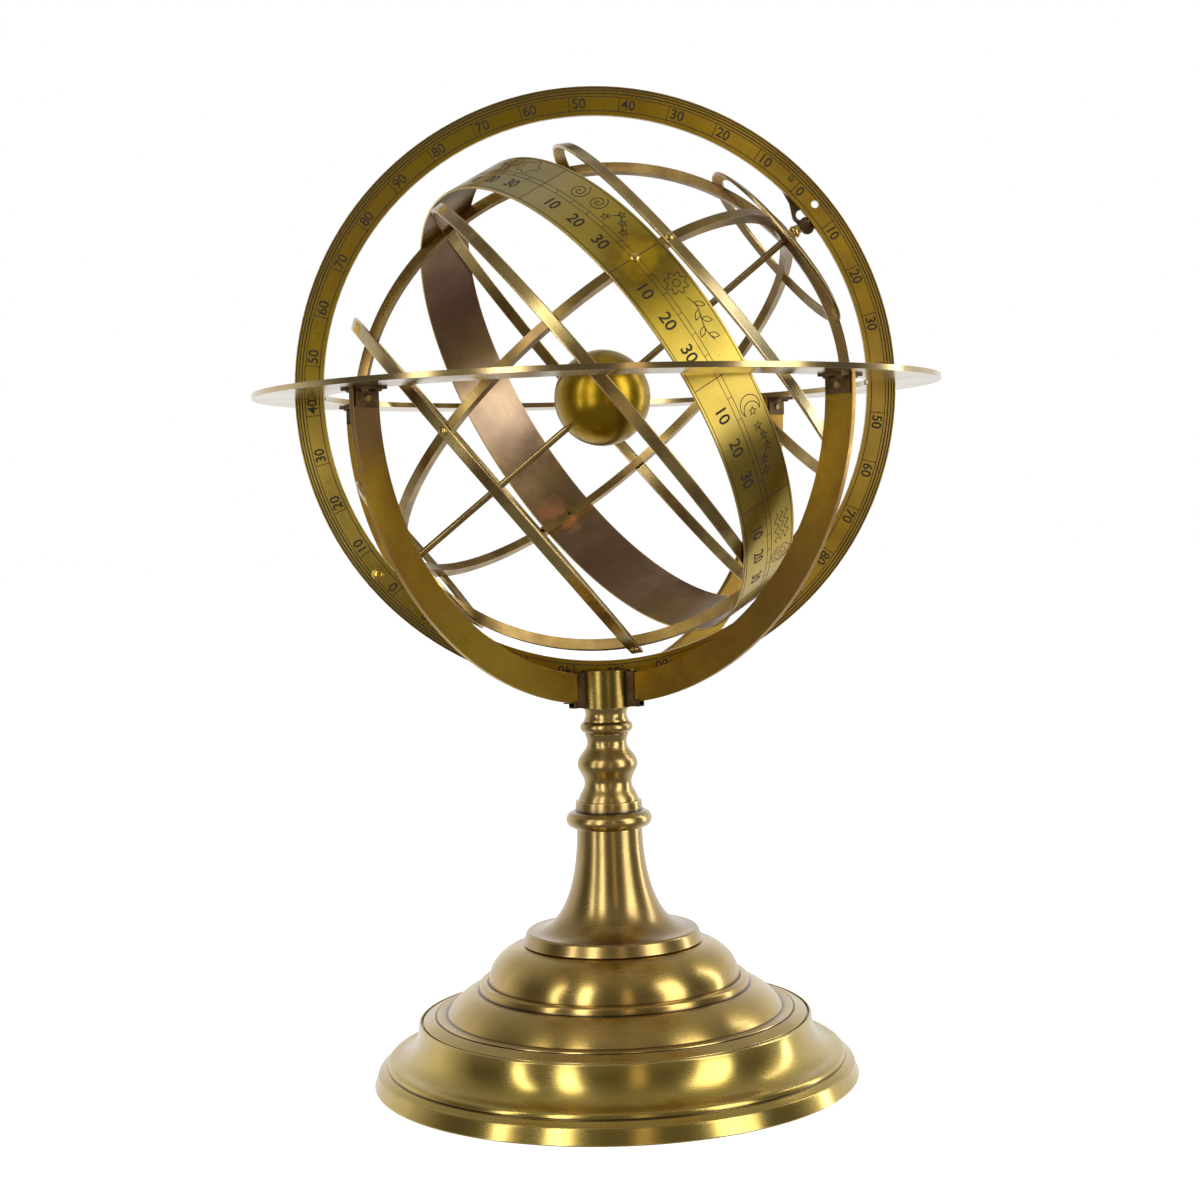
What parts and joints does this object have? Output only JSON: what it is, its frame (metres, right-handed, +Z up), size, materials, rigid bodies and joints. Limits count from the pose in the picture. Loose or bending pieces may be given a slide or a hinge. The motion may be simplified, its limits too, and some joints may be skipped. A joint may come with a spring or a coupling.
{
  "type": "armillary sphere",
  "caption": "Demonstration celestial sphere: flat rings around a small globe turn on a slanted rod inside a level ring, held by curved arms on a turned pedestal.",
  "frame": {"origin": "on the table, under the middle of the round base", "axes": "+Z up, +X to the right along the plane of the upright meridian ring, towards the raised pole; -Y towards the viewer"},
  "size_m": [0.3, 0.3, 0.437],
  "materials": {
    "turned_brass": "antiqued turned brass, satin lacquer, darker in the grooves",
    "arm_brass": "antiqued sheet brass, brushed",
    "horizon_brass": "polished sheet brass, lightly tarnished",
    "meridian_brass": "antiqued sheet brass with a dark filled scale",
    "cage_brass": "antiqued brass strip, satin, brown inside",
    "band_brass": "antiqued sheet brass with dark filled engraving",
    "globe_brass": "polished darkened brass",
    "bright_brass": "polished brass",
    "fastener_brass": "dull brass",
    "dark_brass": "dark patinated brass",
    "steel": "plain zinc-plated steel",
    "felt": "dark felt on card"
  },
  "bodies": {
    "stand": {"base_foot": "turned_brass", "base_cover": "felt", "base_dome": "turned_brass", "trumpet": "turned_brass", "collar": "turned_brass", "baluster": "turned_brass", "post": "turned_brass", "arm_sockets": "dark_brass", "tie_rod": "steel", "tie_nut": "steel", "tie_washer": "steel", "arm_front_left": "arm_brass", "arm_front_right": "arm_brass", "arm_back_right": "arm_brass", "arm_back_left": "arm_brass", "angle_brackets": "dark_brass", "bracket_screws": "fastener_brass", "bracket_rivets": "fastener_brass", "horizon_ring": "horizon_brass"},
    "meridian": {"meridian_ring": "meridian_brass", "north_pivot": "dark_brass", "south_pivot": "dark_brass", "pivot_rivets": "fastener_brass"},
    "cage": {"colure_main": "cage_brass", "colure_cross": "cage_brass", "equator_ring": "cage_brass", "tropic_north": "cage_brass", "tropic_south": "cage_brass", "polar_north": "cage_brass", "polar_south": "cage_brass", "zodiac_band": "band_brass", "band_rivets": "bright_brass", "ring_rivets": "bright_brass", "polar_rod": "cage_brass", "globe": "globe_brass", "pole_finial": "bright_brass", "pole_nut": "bright_brass"}
  },
  "joints": [
    {"name": "latitude_slide", "type": "hinge", "parent": "stand", "child": "meridian", "pos_m": [0, 0, 0.30475], "axis": [0, 1, 0], "range_deg": [-33, 32]},
    {"name": "cage_spin", "type": "hinge", "parent": "meridian", "child": "cage", "pos_m": [0.00066, 0, 0.29949], "axis": [0.7771, 0, 0.6293], "continuous": true}
  ]
}
